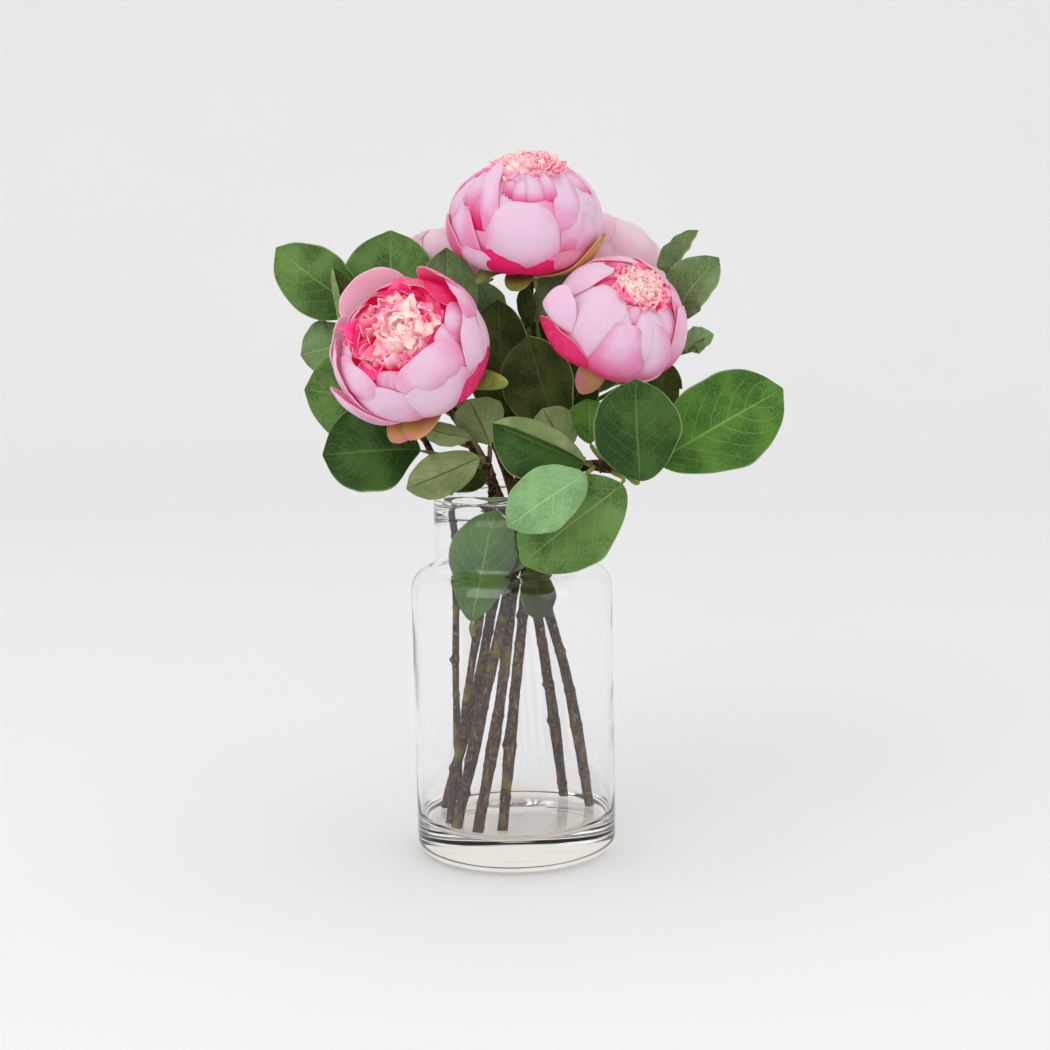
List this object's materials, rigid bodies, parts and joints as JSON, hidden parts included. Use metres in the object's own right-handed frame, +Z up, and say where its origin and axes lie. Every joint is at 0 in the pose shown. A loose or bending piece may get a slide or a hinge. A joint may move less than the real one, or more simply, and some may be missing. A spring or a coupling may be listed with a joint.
{
  "type": "peonies in a vase",
  "caption": "Bouquet of double pink peonies on leafy woody stems, standing dry in a clear glass bottle vase with a straight body, a round shoulder and a short neck.",
  "frame": {"origin": "centre of the vase's flat underside", "axes": "+Z up along the vase's axis; the bouquet's front faces -Y and +X is to the right of it"},
  "size_m": [0.321, 0.2306, 0.4588],
  "materials": {
    "glass": "clear polished glass",
    "bark": "rough brown bark",
    "petal_pink": "soft matt petals, pink with paler rims",
    "petal_pale": "soft matt petals, pale pink",
    "sepal": "matt yellow-green sepals",
    "leaf": "matt green leaves with pale veins"
  },
  "bodies": {
    "root": {"vase": "glass", "bloom_top": "petal_pink", "calyx_top": "sepal", "bloom_left": "petal_pink", "calyx_left": "sepal", "bloom_right": "petal_pink", "calyx_right": "sepal", "bloom_back_right": "petal_pale", "calyx_back_right": "sepal", "bloom_back_left": "petal_pale", "calyx_back_left": "sepal", "stem_top": "bark", "stem_right": "bark", "stem_back_right": "bark", "stem_left": "bark", "stem_back_left": "bark", "leaf_stem_right": "bark", "leaf_stem_front": "bark", "leaf_stem_left": "bark", "leaf_left_1": "leaf", "leaf_left_2": "leaf", "leaf_left_3": "leaf", "leaf_left_4": "leaf", "leaf_left_5": "leaf", "leaf_left_6": "leaf", "leaf_left_7": "leaf", "leaf_mid_1": "leaf", "leaf_mid_2": "leaf", "leaf_mid_3": "leaf", "leaf_mid_4": "leaf", "leaf_mid_5": "leaf", "leaf_mid_6": "leaf", "leaf_mid_7": "leaf", "leaf_front_1": "leaf", "leaf_front_2": "leaf", "leaf_front_3": "leaf", "leaf_front_4": "leaf", "leaf_front_5": "leaf", "leaf_front_6": "leaf", "leaf_front_7": "leaf", "leaf_right_1": "leaf", "leaf_right_2": "leaf", "leaf_right_3": "leaf", "leaf_right_4": "leaf", "leaf_right_5": "leaf", "leaf_right_7": "leaf", "leaf_vase_1": "leaf", "leaf_vase_2": "leaf", "leaf_back_1": "leaf", "leaf_back_2": "leaf", "leaf_back_3": "leaf", "leaf_back_4": "leaf", "leaf_back_5": "leaf", "leaf_back_6": "leaf", "leaf_back_7": "leaf", "leaf_back_8": "leaf", "leaf_back_9": "leaf", "leaf_back_10": "leaf", "leaf_back_11": "leaf", "leaf_mid_8": "leaf"}
  },
  "joints": []
}
